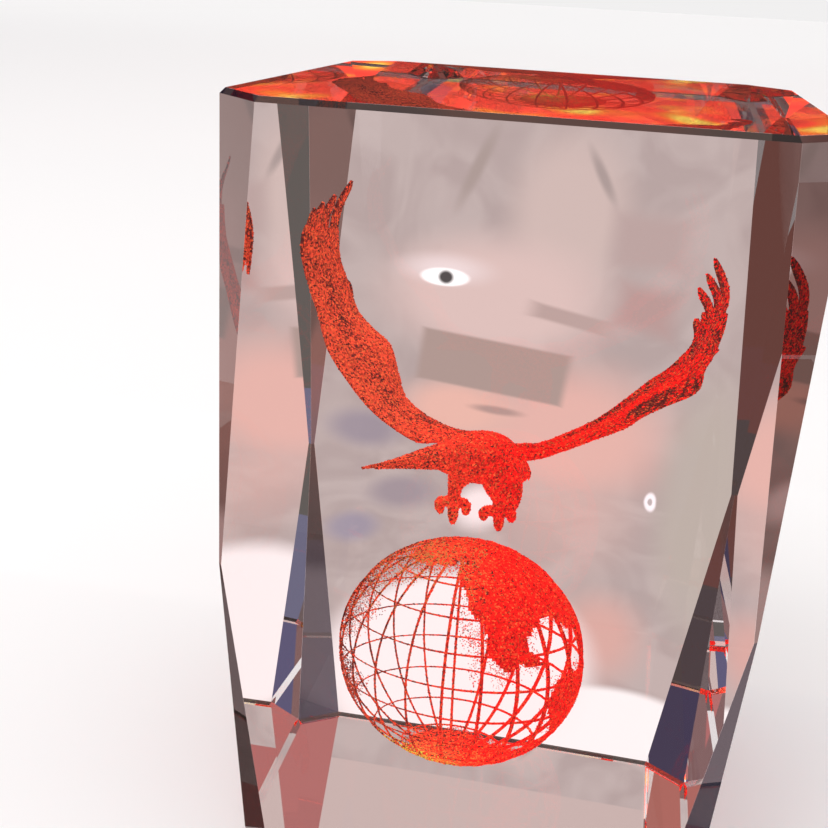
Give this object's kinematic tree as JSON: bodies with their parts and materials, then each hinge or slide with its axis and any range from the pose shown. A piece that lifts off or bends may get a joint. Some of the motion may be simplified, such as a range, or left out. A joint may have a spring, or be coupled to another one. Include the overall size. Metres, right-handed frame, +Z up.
{
  "type": "engraved crystal block paperweight",
  "caption": "Clear square crystal block with diamond-cut corners; an eagle over a wire globe is engraved inside.",
  "frame": {"origin": "middle of the underside that the block stands on", "axes": "+Z up along the block's height, -Y the front face that the figure is seen through, X across the front"},
  "size_m": [0.05, 0.05, 0.08],
  "materials": {
    "crystal": "polished",
    "engraving": "fine laser dots inside the glass, lit red"
  },
  "bodies": {
    "root": {"crystal_block": "crystal"}
  },
  "joints": []
}
